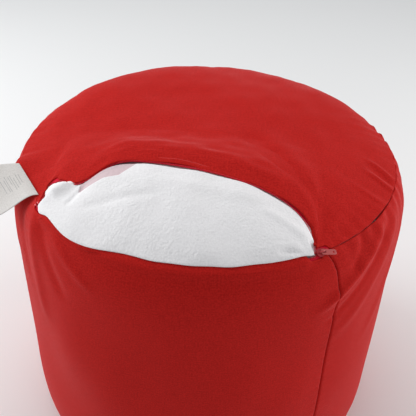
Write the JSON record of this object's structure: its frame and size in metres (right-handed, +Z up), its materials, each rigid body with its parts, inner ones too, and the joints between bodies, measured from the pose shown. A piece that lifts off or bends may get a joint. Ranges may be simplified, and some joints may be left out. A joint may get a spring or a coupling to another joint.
{
  "type": "bean bag chair",
  "caption": "Round pouf-shaped bean bag chair: red fabric cover whose rim zip stands open over a white, bead-filled liner bag, with a care label.",
  "frame": {"origin": "centre of the flat base, on the ground", "axes": "+Z up; the zip opening faces -Y; +X is to the right of someone facing the opening"},
  "size_m": [0.5303, 0.499, 0.4453],
  "materials": {
    "cover_fabric": "matte",
    "zip_tape": "matte",
    "zip_nylon": "satin",
    "slider_enamel": "gloss",
    "pull_enamel": "gloss",
    "liner_fabric": "matte",
    "bead_foam": "matte",
    "label_satin": "satin"
  },
  "bodies": {
    "root": {"top_panel": "cover_fabric", "front_wall_panel": "cover_fabric", "rear_wall_panel": "cover_fabric", "base_panel": "cover_fabric", "zip_tape_lower": "zip_tape", "zip_coil_lower": "zip_nylon", "zip_bottom_stop": "zip_nylon", "zip_top_stop_lower": "zip_nylon", "zip_top_stop_upper": "zip_nylon", "liner_top": "liner_fabric", "liner_wall": "liner_fabric", "liner_base": "liner_fabric", "bead_fill": "bead_foam"},
    "top_lip": {"zip_tape_upper": "zip_tape", "zip_coil_upper": "zip_nylon"},
    "slider": {"slider_body": "slider_enamel", "slider_crown": "slider_enamel"},
    "pull_tab": {"pull_tab": "pull_enamel"},
    "care_label": {"care_label": "label_satin"}
  },
  "joints": [
    {"name": "slider_travel", "type": "hinge", "parent": "root", "child": "slider", "pos_m": [0, 0, 0.4], "axis": [0, 0, -1], "range_deg": [0, 83.5]},
    {"name": "lip_close", "type": "slide", "parent": "root", "child": "top_lip", "axis": [-0.1162, -0.9461, -0.3024], "range_m": [0, 0.12632], "deforming": ["zip_tape_upper", "zip_coil_upper"]},
    {"name": "pull_tab_flip", "type": "hinge", "parent": "slider", "child": "pull_tab", "pos_m": [0.11792, -0.2002, 0.4013], "axis": [0.4257, -0.7226, -0.5446], "range_deg": [0, 165]},
    {"name": "care_label_flop", "type": "hinge", "parent": "root", "child": "care_label", "pos_m": [-0.21377, -0.09295, 0.4], "axis": [-0.3987, 0.9171, 0], "range_deg": [-40, 100]}
  ],
  "couplings": [
    {"joint": "lip_close", "follows": "slider_travel", "m_per_rad": 0.086674}
  ]
}
